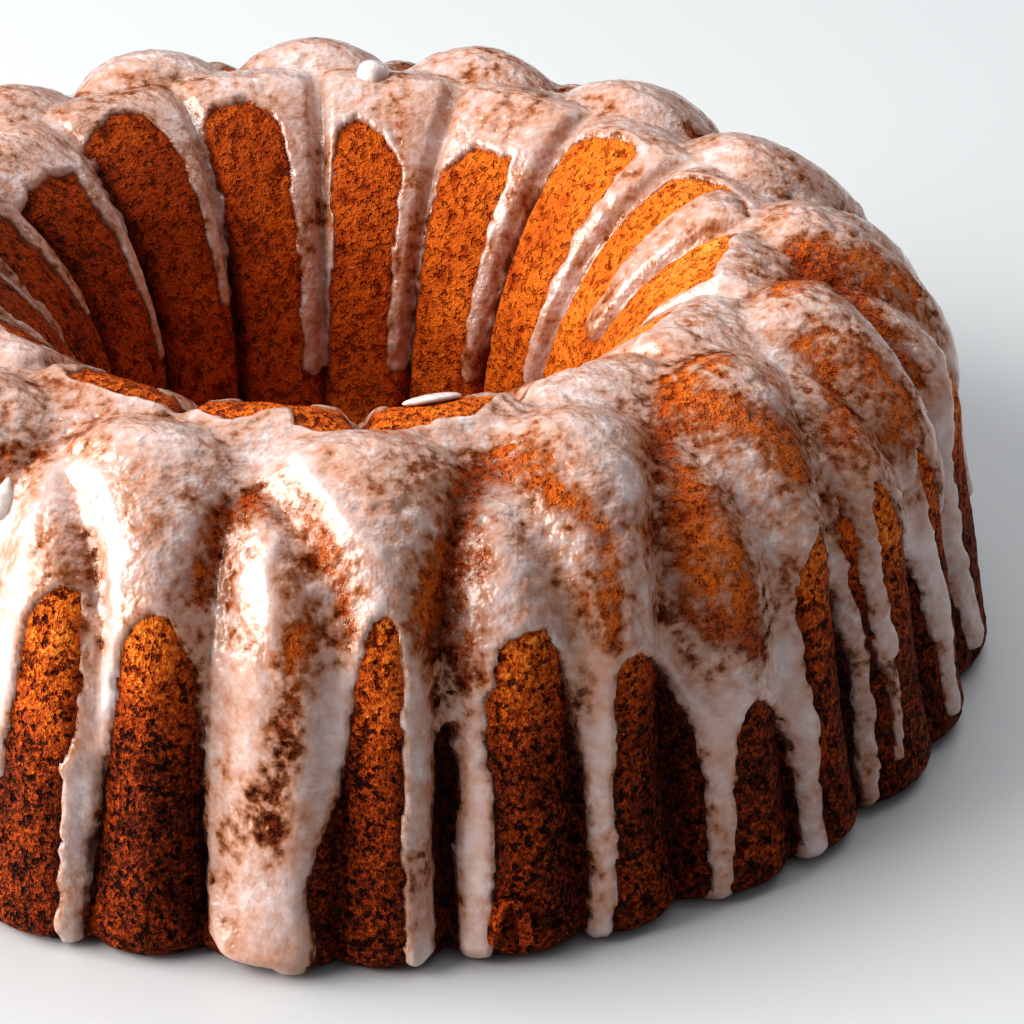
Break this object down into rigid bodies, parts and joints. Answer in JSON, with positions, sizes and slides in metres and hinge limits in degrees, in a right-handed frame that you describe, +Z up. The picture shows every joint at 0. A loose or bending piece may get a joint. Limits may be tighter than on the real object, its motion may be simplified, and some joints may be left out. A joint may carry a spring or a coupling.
{
  "type": "pound cake",
  "caption": "Ring-shaped pound cake from a fluted tube pan, with ridged walls, a tapering hole through the middle and sugar glaze dripping down from its rounded top.",
  "frame": {"origin": "centre of the flat base, on the surface that the cake stands on", "axes": "+Z is up through the hole, -Y is the side that the picture shows in front, +X is the picture's right"},
  "size_m": [0.2487, 0.2507, 0.0775],
  "materials": {
    "crust": "baked brown crust, porous, slightly rough",
    "glaze": "thin white sugar glaze, wet and a little see-through"
  },
  "bodies": {
    "root": {"cake": "crust"}
  },
  "joints": []
}
